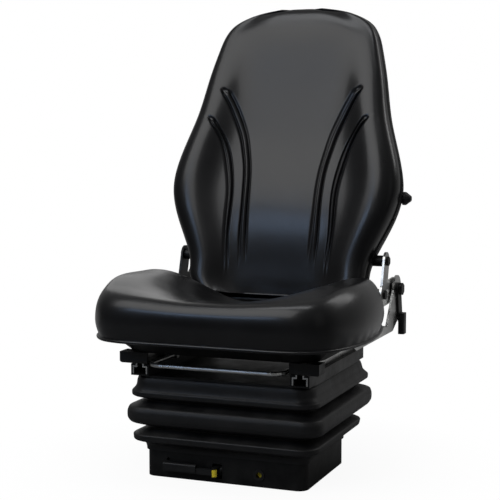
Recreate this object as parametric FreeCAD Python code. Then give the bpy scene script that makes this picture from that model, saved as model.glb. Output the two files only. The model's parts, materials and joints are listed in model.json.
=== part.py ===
import FreeCAD, Part
import math
import os

# Mechanical suspension seat. Millimetres, +Z up, the seat faces -Y, +X is the occupant's left.
# The origin is the centre of the floor bolt pattern, on the floor.

os.makedirs("parts", exist_ok=True)
vec = FreeCAD.Vector
x_axis = vec(1, 0, 0)
y_axis = vec(0, 1, 0)
z_axis = vec(0, 0, 1)

# Base tray
base_half_width = 150.0
base_front = -125.0
base_height = 51.0
base_wall = 3.0
base_front_radius = 18.0
base_rear_radius = 30.0
rear_room = 16.1
floor_bolt_inset = 15.0
floor_bolt_y = 70.0
floor_bolt_radius = 4.5

# Scissor linkage
arm_length = 205.0
arm_thick = 6.0
arm_half_depth = 13.0
linkage_inset = 41.0
arm_spacing = 14.0
pivot_y = -104.0
roller_radius = 11.0
roller_width = 14.0
roller_play = 0.3
channel_wall = 3.0
rest_height = 149.4
suspension_travel = 80.0
shaft_radius = 6.0
running_fit = 0.05
seat_fit = 0.02
side_gap = 2.0
ear_thick = 5.0
tube_wall = 3.0
stop_radius = 6.0
stop_offset = 3.6
stop_play = 0.3

# Upper plate and bellows
plate_thick = 3.0
plate_flange = 16.0
skin = 2.5
skin_play = 0.3
rim_half_width = 166.0
rim_front = -147.0
rim_rear = 178.0
rim_front_radius = 34.0
rim_rear_radius = 36.0
corner_steps = 4
ridge_top_z = 151.0
ridge_top_half_width = 175.0
ridge_mid_z = 114.0
ridge_mid_half_width = 182.0
ridge_mid_height = 26.0
ridge_low_z = 72.0
ridge_low_half_width = 173.0
valley_top_z = 137.0
valley_top_half_width = 154.0
valley_low_z = 88.0
valley_low_half_width = 148.0
skirt_z = 47.0

# Slide rails
rail_x = 148.0
rail_half_width = 17.0
rail_wall = 2.5
rail_low_height = 20.0
rail_height = 42.0
rail_front = -150.0
rail_rear = 165.0
rail_play = 0.5
slot_half_width = 8.0
slide_travel = 75.0

# Seat pan, cushion and side plates
pan_floor_half_width = 178.0
pan_rim_half_width = 204.0
pan_front = -186.0
pan_front_slope = 30.0
pan_rear = 190.0
pan_depth = 24.0
pan_wall = 2.0
cushion_play = 0.5
section_points = 23
side_plate_x = 211.0
side_plate_thick = 4.0
bracket_x = 204.0
hinge_y = 222.0
hinge_z = 311.0
hinge_bolt_radius = 6.0

# Backrest, in its own plane: up along the back, and in towards the shell
back_lean = 16.5
back_foot_y = 98.0
back_foot_z = 300.0
back_depth = 70.0
shell_thick = 5.0
shell_start = 32.0
shell_overhang = 3.0

# Weight adjuster
drum_x = -12.0
drum_y = -117.0
drum_z = 20.0
drum_radius = 9.0
drum_half_width = 8.0
lever_length = 96.0
lever_pin_y = -136.0
spindle_radius = 5.0
yoke_y = -88.0
yoke_depth = 12.0
yoke_travel = 24.0
spring_offset = 34.0
spring_radius = 8.0
spring_wire = 3.0
spring_coils = 6
coil_steps = 8
wire_corners = 4
window_x = 66.0
window_z = 21.0
window_radius = 6.5

# Damper, level between the arms' lower halves
damper_inset = 21.0
damper_share = 0.75
damper_radius = 10.0
damper_tube_gap = 25.3
damper_stud_radius = 4.0
damper_slot = 2.8
damper_eye_radius = 10.0

# Release bar
bar_radius = 4.0
bar_front = -172.0
bar_inset = 26.0
bar_z = 208.0
bar_pivot_y = -60.0

# Lumbar knob
lumbar_up = 207.0
lumbar_in = 50.0
knob_radius = 12.5
knob_stem_radius = 8.0
knob_start = 228.2


# Places that follow from the sizes above
low_pivot_z = base_wall + channel_wall + roller_play + roller_radius
top_pivot_z = low_pivot_z + rest_height
rest_angle = math.asin(rest_height / arm_length)
roller_y = pivot_y + arm_length * math.cos(rest_angle)
low_angle = math.asin((rest_height - suspension_travel) / arm_length)
roller_end_y = pivot_y + arm_length * math.cos(low_angle)
base_rear = roller_end_y + rear_room
floor_bolt_x = base_half_width - floor_bolt_inset
outer_arm_x = base_half_width - linkage_inset
inner_arm_x = outer_arm_x - arm_spacing
stop_y = roller_y + stop_offset
damper_x = damper_inset - inner_arm_x
bar_half_width = rail_x - bar_inset
centre_y = (pivot_y + roller_y) / 2
centre_z = (low_pivot_z + top_pivot_z) / 2
plate_under = top_pivot_z + roller_radius + roller_play + channel_wall
plate_top = plate_under + plate_thick
rim_z = plate_top - skin_play
plate_half_width = rim_half_width - skin - skin_play
plate_front = rim_front + skin + skin_play
plate_rear = rim_rear - skin - skin_play
rail_top = plate_top + rail_height
pan_rim_z = rail_top + pan_depth
damper_arm = damper_share * arm_length / 2
damper_z = centre_z - damper_arm * math.sin(rest_angle)
damper_front_y = centre_y - damper_arm * math.cos(rest_angle)
damper_rear_y = centre_y + damper_arm * math.cos(rest_angle)
low_length = 2 * damper_arm * math.cos(low_angle)
damper_tube_length = damper_rear_y - damper_front_y - damper_tube_gap
lean = math.radians(back_lean)


def save(name, *shapes):
    shape = shapes[0] if len(shapes) == 1 else Part.makeCompound(list(shapes))
    shape.exportStep("parts/" + name + ".step")


def block(x0, x1, y0, y1, z0, z1):
    return Part.makeBox(x1 - x0, y1 - y0, z1 - z0, vec(x0, y0, z0))


def rod(x, y, z, direction, radius, length):
    return Part.makeCylinder(radius, length, vec(x, y, z), direction)


def rod_x(x0, x1, y, z, radius):
    return Part.makeCylinder(radius, x1 - x0, vec(x0, y, z), x_axis)


def tube_x(x0, x1, y, z, outer, inner):
    return rod_x(x0, x1, y, z, outer).cut(rod_x(x0, x1, y, z, inner))


def mirrored(shape):
    return shape.mirror(vec(0, 0, 0), x_axis)


def polygon_x(points, x0, x1):
    """A plate with its outline in the Y-Z plane, from x0 to x1."""
    corners = [vec(x0, y, z) for y, z in points]
    face = Part.Face(Part.makePolygon(corners + [corners[0]]))
    return face.extrude(vec(x1 - x0, 0, 0))


def polygon_y(points, y0, y1):
    """A bar with its outline in the X-Z plane, from y0 to y1."""
    corners = [vec(x, y0, z) for x, z in points]
    face = Part.Face(Part.makePolygon(corners + [corners[0]]))
    return face.extrude(vec(0, y1 - y0, 0))


def flat_loft(sections):
    """A solid through closed sections of equally many points, skinned with flat facets."""
    faces = []
    count = len(sections[0])
    for near, far in zip(sections, sections[1:]):
        for number in range(count):
            after = (number + 1) % count
            a, b, c, d = near[number], near[after], far[after], far[number]
            if abs((b - a).cross(d - a).dot(c - a)) < 1e-6 * b.distanceToPoint(a) ** 2:
                faces.append(Part.Face(Part.makePolygon([a, b, c, d, a])))
            else:
                faces.append(Part.Face(Part.makePolygon([a, b, c, a])))
                faces.append(Part.Face(Part.makePolygon([a, c, d, a])))
    for end in (sections[0], sections[-1]):
        faces.append(Part.Face(Part.makePolygon(end + [end[0]])))
    solid = Part.makeSolid(Part.makeShell(faces))
    if solid.Volume < 0:
        solid.reverse()
    return solid


def hexagon_x(x0, x1, y, z, half_flats):
    """A hexagon bar along X, for bolt heads and nuts."""
    corner = half_flats / math.cos(math.pi / 6)
    turns = [math.radians(60 * number + 30) for number in range(6)]
    return polygon_x([(y + corner * math.cos(t), z + corner * math.sin(t)) for t in turns], x0, x1)


def link_plate(x0, x1, start, end, radius):
    """A flat link with round ends about two points of the Y-Z plane."""
    dy, dz = end[0] - start[0], end[1] - start[1]
    length = math.hypot(dy, dz)
    ny, nz = -dz / length * radius, dy / length * radius
    corners = [
        (start[0] + ny, start[1] + nz),
        (end[0] + ny, end[1] + nz),
        (end[0] - ny, end[1] - nz),
        (start[0] - ny, start[1] - nz),
    ]
    plate = polygon_x(corners, x0, x1)
    ends = [rod_x(x0, x1, y, z, radius) for y, z in (start, end)]
    return plate.fuse(ends).removeSplitter()


def ring(z, half_width, front, rear, front_radius, rear_radius):
    """A level rounded rectangle."""
    corners = [
        (half_width, rear, rear_radius, 0),
        (-half_width, rear, rear_radius, 90),
        (-half_width, front, front_radius, 180),
        (half_width, front, front_radius, 270),
    ]
    arcs = []
    for x, y, radius, start in corners:
        cx = x - math.copysign(radius, x)
        cy = y - radius if start < 180 else y + radius
        points = []
        for turn in (start, start + 45, start + 90):
            angle = math.radians(turn)
            points.append(vec(cx + radius * math.cos(angle), cy + radius * math.sin(angle), z))
        arcs.append(points)
    edges = []
    for number, points in enumerate(arcs):
        edges.append(Part.Arc(*points).toShape())
        edges.append(Part.makeLine(points[2], arcs[(number + 1) % 4][0]))
    return Part.Wire(edges)


def ring_points(z, half_width, front, rear, front_radius, rear_radius):
    """A level rounded rectangle as points, with each corner in a few even steps."""
    corners = [
        (half_width - rear_radius, rear - rear_radius, rear_radius, 0),
        (rear_radius - half_width, rear - rear_radius, rear_radius, 90),
        (front_radius - half_width, front + front_radius, front_radius, 180),
        (half_width - front_radius, front + front_radius, front_radius, 270),
    ]
    points = []
    for x, y, radius, start in corners:
        for step in range(corner_steps + 1):
            angle = math.radians(start + 90 * step / corner_steps)
            points.append(vec(x + radius * math.cos(angle), y + radius * math.sin(angle), z))
    return points


def tray_form(half_width, front, rear, front_radius, rear_radius, z0, z1):
    face = Part.Face(ring(z0, half_width, front, rear, front_radius, rear_radius))
    return face.extrude(vec(0, 0, z1 - z0))


def make_base():
    pan = tray_form(base_half_width, base_front, base_rear, base_front_radius, base_rear_radius, 0, base_height)
    hollow = tray_form(
        base_half_width - base_wall,
        base_front + base_wall,
        base_rear - base_wall,
        base_front_radius - base_wall,
        base_rear_radius - base_wall,
        base_wall,
        base_height,
    )
    pan = pan.cut(hollow)
    for x in (-floor_bolt_x, floor_bolt_x):
        for y in (-floor_bolt_y, floor_bolt_y):
            pan = pan.cut(rod(x, y, 0, z_axis, floor_bolt_radius, base_wall))
    slot_side = drum_half_width + 1.0
    slot_top = drum_z + drum_radius + 4.0
    slot_low = drum_z - drum_radius - 4.0
    front_in = base_front + base_wall
    pan = pan.cut(block(drum_x - slot_side, drum_x + slot_side, base_front, front_in, slot_low, slot_top))
    pan = pan.cut(rod(window_x, base_front, window_z, y_axis, window_radius, base_wall))
    hole_x = -106.0
    hole_z = 33.0
    pan = pan.cut(rod(hole_x, base_front, hole_z, y_axis, 3.0, base_wall))
    save("base_pan", pan)

    bezel_lip = 3.5
    bezel = rod(window_x, base_front - 2.0, window_z, y_axis, window_radius + bezel_lip, 2.0)
    bezel = bezel.fuse(rod(window_x, base_front, window_z, y_axis, window_radius - 0.05, base_wall + 3.0))
    bezel = bezel.cut(rod(window_x, base_front - 2.0, window_z, y_axis, window_radius - 1.0, base_wall + 6.0))
    save("window_bezel", bezel)

    channel_x0 = inner_arm_x + arm_thick + side_gap
    channel_x1 = channel_x0 + roller_width + 2 + channel_wall
    bottom = base_wall
    top = low_pivot_z + roller_radius + roller_play + channel_wall
    profile = [
        (channel_x0, bottom),
        (channel_x1, bottom),
        (channel_x1, top),
        (channel_x0, top),
        (channel_x0, top - channel_wall),
        (channel_x1 - channel_wall, top - channel_wall),
        (channel_x1 - channel_wall, bottom + channel_wall),
        (channel_x0, bottom + channel_wall),
    ]
    channel = polygon_y(profile, roller_y - roller_radius - 8.0, roller_end_y + roller_radius + 1.0)
    save("base_channels", channel, mirrored(channel))

    ear_x = outer_arm_x + arm_thick + side_gap
    ear = link_plate(ear_x, ear_x + ear_thick, (pivot_y, base_wall + 6.0), (pivot_y, low_pivot_z), 14.0)
    foot = block(ear_x, ear_x + ear_thick + 12.0, pivot_y - 14.0, pivot_y + 14.0, base_wall, base_wall + 4.0)
    above = block(ear_x, ear_x + ear_thick + 12.0, pivot_y - 20.0, pivot_y + 20.0, base_wall, 60.0)
    ear = ear.common(above).fuse(foot).removeSplitter()
    ear = ear.cut(rod_x(ear_x, ear_x + ear_thick, pivot_y, low_pivot_z, shaft_radius + seat_fit))
    save("base_ears", ear, mirrored(ear))

    pin = rod_x(outer_arm_x - 1.0, ear_x + ear_thick, pivot_y, low_pivot_z, shaft_radius)
    head = rod_x(outer_arm_x - 4.0, outer_arm_x - 1.0, pivot_y, low_pivot_z, shaft_radius + 3.0)
    pin = pin.fuse(head)
    save("base_pivot_pins", pin, mirrored(pin))

    channel_low = top_pivot_z - roller_radius - roller_play - channel_wall
    stop_top = channel_low - suspension_travel - stop_play
    stop_x = channel_x1 + stop_radius + 0.8
    stop = rod(stop_x, stop_y, base_wall, z_axis, stop_radius, stop_top - base_wall)
    save("bump_stops", stop, mirrored(stop))

    bracket_side = drum_half_width + 2.0
    cheek_side = 3.0
    cheeks = []
    for side in (-1, 1):
        x0 = drum_x + side * bracket_side
        x1 = x0 + side * cheek_side
        low, high = min(x0, x1), max(x0, x1)
        cheek = block(low, high, front_in, drum_y + 6.0, drum_z - 10.0, drum_z + 10.0)
        cheek = cheek.cut(rod_x(low, high, drum_y, drum_z, 3.0 + seat_fit))
        cheeks.append(cheek)
    save("drum_bracket", *cheeks)
    reach = bracket_side + cheek_side + 1.0
    save("drum_pin", rod_x(drum_x - reach, drum_x + reach, drum_y, drum_z, 3.0))

    bearing_y = drum_y + drum_radius + 6.0
    bearing = block(drum_x - 18.0, drum_x + 18.0, bearing_y, bearing_y + 4.0, base_wall, drum_z + 12.0)
    bearing = bearing.cut(rod(drum_x, bearing_y, drum_z, y_axis, spindle_radius + running_fit, 4.0))
    save("spindle_bearing", bearing)


def make_adjuster():
    drum = rod_x(drum_x - drum_half_width, drum_x + drum_half_width, drum_y, drum_z, drum_radius)
    drum = drum.cut(rod_x(drum_x - drum_half_width, drum_x + drum_half_width, drum_y, drum_z, 3.0 + running_fit))
    lug_gap = 6.3
    lug_thick = 2.5
    for side in (-1, 1):
        z0 = drum_z + side * lug_gap
        z1 = z0 + side * lug_thick
        low, high = min(z0, z1), max(z0, z1)
        lug = block(drum_x - 6.0, drum_x + 4.0, lever_pin_y, drum_y - 4.0, low, high)
        lug = lug.fuse(rod(drum_x - 1.0, lever_pin_y, low, z_axis, 5.0, high - low))
        drum = drum.fuse(lug)
    pin_x = drum_x - 1.0
    lever_pin = rod(pin_x, lever_pin_y, drum_z - lug_gap - lug_thick, z_axis, 2.0, 2 * (lug_gap + lug_thick))
    drum = drum.fuse(lever_pin).removeSplitter()
    save("weight_drum", drum)

    half_eye = lug_gap - 0.3
    eye = rod(pin_x, lever_pin_y, drum_z - half_eye, z_axis, 5.0, 2 * half_eye)
    arm = block(pin_x - 40.0, pin_x, lever_pin_y - 3.5, lever_pin_y + 3.5, drum_z - 4.5, drum_z + 5.5)
    grip = block(pin_x - lever_length, pin_x - 34.0, lever_pin_y - 5.0, lever_pin_y + 4.5, drum_z - 5.0, drum_z + 11.0)
    grip = grip.makeFillet(3.5, [e for e in grip.Edges if abs(e.Vertexes[0].X - e.Vertexes[1].X) > 10])
    lever = eye.fuse([arm, grip]).cut(rod(pin_x, lever_pin_y, 0, z_axis, 2.0 + running_fit, 60.0))
    save("weight_lever", lever.removeSplitter())

    mark = rod(pin_x, lever_pin_y, drum_z - half_eye, z_axis, 6.2, 2 * half_eye)
    mark = mark.cut(rod(pin_x, lever_pin_y, drum_z - half_eye, z_axis, 5.0, 2 * half_eye))
    wedge = block(pin_x - 2.0, pin_x + 8.0, lever_pin_y - 8.0, lever_pin_y - 2.0, 0, 60.0)
    save("lever_marker", mark.common(wedge))

    bearing_y = drum_y + drum_radius + 6.0
    spindle = rod(drum_x, bearing_y - 4.0, drum_z, y_axis, spindle_radius, yoke_y + yoke_travel + 22.0 - bearing_y)
    collar = rod(drum_x, bearing_y + 4.05, drum_z, y_axis, spindle_radius + 2.5, 2.0)
    nose = rod(drum_x, bearing_y - 4.0, drum_z, y_axis, spindle_radius + 2.5, 3.95)
    save("spindle", spindle.fuse([collar, nose]).removeSplitter())

    half = yoke_depth / 2
    yoke = block(drum_x - spring_offset - 8.0, drum_x + spring_offset + 8.0, yoke_y - half, yoke_y + half,
                 drum_z - 8.0, drum_z + 8.0)
    yoke = yoke.makeFillet(3.0, [e for e in yoke.Edges if abs(e.Vertexes[0].Z - e.Vertexes[1].Z) > 10])
    yoke = yoke.cut(rod(drum_x, yoke_y - half, drum_z, y_axis, spindle_radius + running_fit, yoke_depth))
    for side in (-1, 1):
        yoke = yoke.fuse(rod(drum_x + side * spring_offset, yoke_y + half, drum_z, y_axis, 4.0, 7.0))
    save("tension_yoke", yoke.removeSplitter())

    disc_y = base_front + base_wall + 3.5
    stem_x = drum_x + spring_offset + 8.0
    strip = block(stem_x, window_x + 3.0, yoke_y - 2.0, yoke_y + 2.0, window_z - 4.0, window_z + 4.0)
    stem = rod(window_x, disc_y, window_z, y_axis, 2.5, yoke_y - disc_y)
    disc = rod(window_x, disc_y, window_z, y_axis, window_radius - 1.3, 3.0)
    save("weight_pointer", strip.fuse([stem, disc]).removeSplitter())

    front = yoke_y + half + 1.0
    rear = roller_y - shaft_radius - 0.4
    coil_start = front + 6.5
    coil_end = rear - 9.0
    steps = coil_steps * spring_coils
    rings = []
    for step in range(steps + 1):
        turn = 2 * math.pi * spring_coils * step / steps
        along = coil_start + (coil_end - coil_start) * step / steps
        corners = []
        for number in range(wire_corners):
            angle = 2 * math.pi * number / wire_corners
            reach = spring_radius + spring_wire / 2 * math.cos(angle)
            corners.append(vec(reach * math.cos(turn), along + spring_wire / 2 * math.sin(angle), reach * math.sin(turn)))
        rings.append(corners)
    coil = flat_loft(rings)
    springs = []
    for side in (-1, 1):
        x = drum_x + side * spring_offset
        one = coil.copy()
        one.translate(vec(x, 0, drum_z))
        hook = rod(x, coil_end - 1.0, drum_z, y_axis, 2.0, rear - coil_end + 1.0)
        side = spring_radius - 2.0
        plug = block(x - side, x + side, coil_end - 2.5, coil_end, drum_z - side, drum_z + side)
        front_plug = block(x - side, x + side, yoke_y + half + 7.3, coil_start + 2.0, drum_z - side, drum_z + side)
        springs.append(one.fuse([plug, hook, front_plug]))
    save("spring_left", springs[0])
    save("spring_right", springs[1])


def make_linkage():
    low = (pivot_y, low_pivot_z)
    high = (roller_y, top_pivot_z)
    x0 = outer_arm_x
    x1 = outer_arm_x + arm_thick
    outer = link_plate(x0, x1, low, high, arm_half_depth)
    outer = outer.cut(rod_x(x0, x1, pivot_y, low_pivot_z, shaft_radius + running_fit))
    outer = outer.cut(rod_x(x0, x1, roller_y, top_pivot_z, shaft_radius + seat_fit))
    outer = outer.cut(rod_x(x0, x1, centre_y, centre_z, shaft_radius + seat_fit))
    save("outer_arm_right", outer)
    stud_end = damper_x + damper_radius + 0.5
    stud = rod_x(-outer_arm_x, stud_end, damper_front_y, damper_z, damper_stud_radius)
    save("outer_arm_left", mirrored(outer).fuse(stud))

    tube = tube_x(-x0, x0, roller_y, top_pivot_z, shaft_radius + tube_wall, shaft_radius + seat_fit)
    save("outer_cross_tube", tube)
    half = x1 + side_gap + roller_width + 0.5
    save("upper_roller_shaft", rod_x(-half, half, roller_y, top_pivot_z, shaft_radius))

    bolt = rod_x(inner_arm_x - 1.0, x1, centre_y, centre_z, shaft_radius)
    head = hexagon_x(x1, x1 + 4.0, centre_y, centre_z, shaft_radius + 3.0)
    nut = hexagon_x(inner_arm_x - 5.0, inner_arm_x - 1.0, centre_y, centre_z, shaft_radius + 3.0)
    spacer = hexagon_x(inner_arm_x + arm_thick + 0.5, x0, centre_y, centre_z, shaft_radius + 3.0)
    bolt = bolt.fuse([head, nut, spacer]).removeSplitter()
    save("centre_bolts", bolt, mirrored(bolt))

    i0 = inner_arm_x
    i1 = inner_arm_x + arm_thick
    top_front = (pivot_y, top_pivot_z)
    low_rear = (roller_y, low_pivot_z)
    inner = link_plate(i0, i1, top_front, low_rear, arm_half_depth)
    inner = inner.cut(rod_x(i0, i1, pivot_y, top_pivot_z, shaft_radius + running_fit))
    inner = inner.cut(rod_x(i0, i1, roller_y, low_pivot_z, shaft_radius + seat_fit))
    inner = inner.cut(rod_x(i0, i1, centre_y, centre_z, shaft_radius + running_fit))
    save("inner_arm_right", inner)
    stud = rod_x(-inner_arm_x, stud_end, damper_rear_y, damper_z, damper_stud_radius)
    save("inner_arm_left", mirrored(inner).fuse(stud))
    tube_bore = shaft_radius + running_fit
    save("inner_cross_tube", tube_x(-i0, i0, pivot_y, top_pivot_z, tube_bore + tube_wall, tube_bore))
    low_half = i1 + side_gap + roller_width + 0.5
    save("lower_roller_shaft", rod_x(-low_half, low_half, roller_y, low_pivot_z, shaft_radius))

    bore = shaft_radius + running_fit
    upper = tube_x(x1 + side_gap, x1 + side_gap + roller_width, roller_y, top_pivot_z, roller_radius, bore)
    lower = tube_x(i1 + side_gap + 1.0, i1 + side_gap + 1.0 + roller_width - 0.8, roller_y, low_pivot_z,
                   roller_radius, bore)
    save("upper_roller_right", upper)
    save("upper_roller_left", mirrored(upper))
    save("lower_roller_right", lower)
    save("lower_roller_left", mirrored(lower))


def make_damper():
    side = damper_radius
    start = damper_front_y + damper_eye_radius - 2.0
    end = start + damper_tube_length
    wall = 2.0
    cap = 4.0
    rod_radius = 4.0
    tube = rod(damper_x, start, damper_z, y_axis, damper_radius, damper_tube_length)
    tube = tube.cut(rod(damper_x, start + cap, damper_z, y_axis, damper_radius - wall, damper_tube_length - 2 * cap))
    tube = tube.cut(rod(damper_x, end - cap, damper_z, y_axis, rod_radius + running_fit, cap))
    tube = tube.fuse(rod_x(damper_x - side, damper_x + side, damper_front_y, damper_z, damper_eye_radius - 1.5))
    tube = tube.cut(rod_x(damper_x - side, damper_x + side, damper_front_y, damper_z, damper_stud_radius + running_fit))
    save("damper_tube", tube)

    piston = 6.0
    stroke = low_length - 2 * damper_arm * math.cos(rest_angle)
    piston_y = end - cap - piston - stroke - 4.0
    shaft = rod(damper_x, piston_y, damper_z, y_axis, rod_radius, damper_rear_y - damper_eye_radius + 1.0 - piston_y)
    head = rod(damper_x, piston_y, damper_z, y_axis, damper_radius - wall - running_fit, piston)
    eye = rod_x(damper_x - side, damper_x + side, damper_rear_y, damper_z, damper_eye_radius)
    opening = damper_stud_radius + 0.3
    slot = link_plate(damper_x - side, damper_x + side, (damper_rear_y - damper_slot, damper_z),
                      (damper_rear_y + damper_slot, damper_z), opening)
    save("damper_rod", shaft.fuse([head, eye]).cut(slot).removeSplitter())


def bellows_rings(inset):
    """Rings of the rubber wall from the skirt to the rim, each moved in by the same amount."""
    lip = 5.0
    rows = [
        (skirt_z, base_half_width + skin + skin_play, base_front - skin - skin_play, base_rear + skin + skin_play),
        (skirt_z + 7, base_half_width + skin + 1, base_front - skin - 1, base_rear + skin + 4),
        (ridge_low_z - lip, ridge_low_half_width - 1, -151.0, 142.0),
        (ridge_low_z + lip - 1, ridge_low_half_width, -152.0, 150.0),
        (valley_low_z, valley_low_half_width, -130.0, 136.0),
        (ridge_mid_z - ridge_mid_height / 2 - 2, ridge_mid_half_width - 2, -154.0, 184.0),
        (ridge_mid_z, ridge_mid_half_width + 1, -157.0, 194.0),
        (ridge_mid_z + ridge_mid_height / 2, ridge_mid_half_width - 2, -154.0, 194.0),
        (valley_top_z, valley_top_half_width, -132.0, 168.0),
        (ridge_top_z - lip, ridge_top_half_width - 1, -153.0, 194.0),
        (ridge_top_z + lip, ridge_top_half_width - 2, -153.0, 194.0),
        (plate_top - plate_flange - 2, rim_half_width, rim_front, rim_rear),
        (rim_z, rim_half_width, rim_front, rim_rear),
    ]
    rings = []
    for z, half_width, front, rear in rows:
        near = base_front_radius - 1.0 if z < skirt_z + 10 else rim_front_radius
        far = base_rear_radius - 1.0 if z < skirt_z + 10 else rim_rear_radius
        rings.append(ring_points(z, half_width - inset, front + inset, rear - inset, near - inset, far - inset))
    return rings


def make_bellows():
    outside = flat_loft(bellows_rings(0.0))
    inside = flat_loft(bellows_rings(skin))
    save("bellows", outside.cut(inside))


def make_upper_frame():
    near = rim_front_radius + 1.0
    far = rim_rear_radius + 1.0
    plate = tray_form(plate_half_width, plate_front, plate_rear, near, far, plate_top - plate_flange, plate_top)
    hollow = tray_form(
        plate_half_width - plate_thick,
        plate_front + plate_thick,
        plate_rear - plate_thick,
        near - plate_thick,
        far - plate_thick,
        plate_top - plate_flange,
        plate_under,
    )
    save("upper_plate", plate.cut(hollow))

    x0 = outer_arm_x + arm_thick + side_gap - 0.5
    x1 = x0 + roller_width + 2 + channel_wall
    bottom = top_pivot_z - roller_radius - roller_play - channel_wall
    profile = [
        (x0, bottom),
        (x1, bottom),
        (x1, plate_under),
        (x0, plate_under),
        (x0, plate_under - channel_wall),
        (x1 - channel_wall, plate_under - channel_wall),
        (x1 - channel_wall, bottom + channel_wall),
        (x0, bottom + channel_wall),
    ]
    channel = polygon_y(profile, roller_y - roller_radius - 8.0, roller_end_y + roller_radius + 8.0)
    save("upper_channels", channel, mirrored(channel))

    ear_x = inner_arm_x + arm_thick + side_gap
    ear = link_plate(ear_x, ear_x + ear_thick, (pivot_y, plate_under - 4.0), (pivot_y, top_pivot_z), 14.0)
    below = block(ear_x, ear_x + ear_thick, pivot_y - 20.0, pivot_y + 20.0, 0.0, plate_under)
    ear = ear.common(below)
    ear = ear.cut(rod_x(ear_x, ear_x + ear_thick, pivot_y, top_pivot_z, shaft_radius + seat_fit))
    save("upper_ears", ear, mirrored(ear))
    half = ear_x + ear_thick + 1.0
    save("upper_pivot_shaft", rod_x(-half, half, pivot_y, top_pivot_z, shaft_radius))


def make_rails():
    base = plate_top
    lip_z = base + rail_low_height
    outer = rail_half_width
    inner = rail_half_width - rail_wall
    low_profile = [
        (-outer, base),
        (outer, base),
        (outer, lip_z),
        (slot_half_width, lip_z),
        (slot_half_width, lip_z - rail_wall),
        (inner, lip_z - rail_wall),
        (inner, base + rail_wall),
        (-inner, base + rail_wall),
        (-inner, lip_z - rail_wall),
        (-slot_half_width, lip_z - rail_wall),
        (-slot_half_width, lip_z),
        (-outer, lip_z),
    ]
    foot_top = lip_z - rail_wall - rail_play
    foot_low = base + rail_wall + rail_play
    foot = inner - rail_play
    web = slot_half_width - rail_play
    right_side = [
        (web, rail_top - rail_wall),
        (web, foot_top),
        (foot, foot_top),
        (foot, foot_low),
        (foot - rail_wall, foot_low),
        (foot - rail_wall, foot_top - rail_wall),
        (web - rail_wall, foot_top - rail_wall),
        (web - rail_wall, rail_top - rail_wall),
    ]
    left_side = [(-x, z) for x, z in reversed(right_side)]
    high_profile = [(-outer, rail_top), (outer, rail_top), (outer, rail_top - rail_wall)] + right_side
    high_profile += left_side + [(-outer, rail_top - rail_wall)]
    for name, profile in (("lower_rail", low_profile), ("upper_rail", high_profile)):
        moved = [(x + rail_x, z) for x, z in profile]
        rail = polygon_y(moved, rail_front, rail_rear)
        save(name + "_right", rail)
        save(name + "_left", mirrored(rail))

    cover_side = 19.0
    cover_wall = 2.5
    cover_front = rail_front - 6.0
    cover_rear = rail_front + 24.0
    cover_low = lip_z + 1.3
    cover_top = rail_top - 0.3
    cover_out = rail_x + rail_half_width + cover_side
    cover_in = rail_x + rail_half_width + 0.5
    cover = block(rail_x - rail_half_width, cover_out, cover_front, cover_rear, cover_low, cover_top)
    lower_edges = [e for e in cover.Edges if e.CenterOfMass.z < cover_low + 0.1]
    rounded = [e for e in lower_edges if e.CenterOfMass.x > cover_out - 0.1 or e.CenterOfMass.y < cover_front + 0.1]
    cover = cover.makeFillet(5.0, rounded)
    cover = cover.cut(block(0, cover_in, rail_front - 0.3, cover_rear, cover_low, cover_top))
    hollow = block(cover_in + cover_wall, cover_out - cover_wall, cover_front + cover_wall, cover_rear,
                   cover_low + cover_wall, cover_top - cover_wall)
    cover = cover.cut(hollow)
    save("rail_cover_right", cover)
    save("rail_cover_left", mirrored(cover))


def make_release_bar():
    bend = 22.0
    centres = [(-bar_half_width, bar_pivot_y, 180.0)]
    for side, start in ((-1, 180.0), (1, 270.0)):
        for step in range(6):
            angle = math.radians(start + 18 * step)
            x = side * (bar_half_width - bend) + bend * math.cos(angle)
            centres.append((x, bar_front + bend + bend * math.sin(angle), start + 18 * step))
    centres.append((bar_half_width, bar_pivot_y, 360.0))
    sections = []
    for x, y, heading in centres:
        outward = vec(math.cos(math.radians(heading)), math.sin(math.radians(heading)), 0)
        points = []
        for number in range(12):
            angle = math.radians(30 * number)
            offset = outward * (bar_radius * math.cos(angle)) + z_axis * (bar_radius * math.sin(angle))
            points.append(vec(x, y, bar_z) + offset)
        sections.append(points)
    bar = flat_loft(sections)
    hub_out = rail_x - slot_half_width - 12.0
    hubs = []
    for side in (-1, 1):
        x0 = side * (bar_half_width - 6.0)
        x1 = side * hub_out
        low, high = min(x0, x1), max(x0, x1)
        hubs.append(rod_x(low, high, bar_pivot_y, bar_z, 6.0))
    save("release_bar", bar.fuse(hubs).removeSplitter())

    pins = []
    for side in (-1, 1):
        inner = side * (hub_out + 0.5)
        outer = side * (rail_x - slot_half_width + rail_play)
        low, high = min(inner, outer), max(inner, outer)
        pins.append(rod_x(low, high, bar_pivot_y, bar_z, 4.0))
    save("bar_pivots", *pins)


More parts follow.
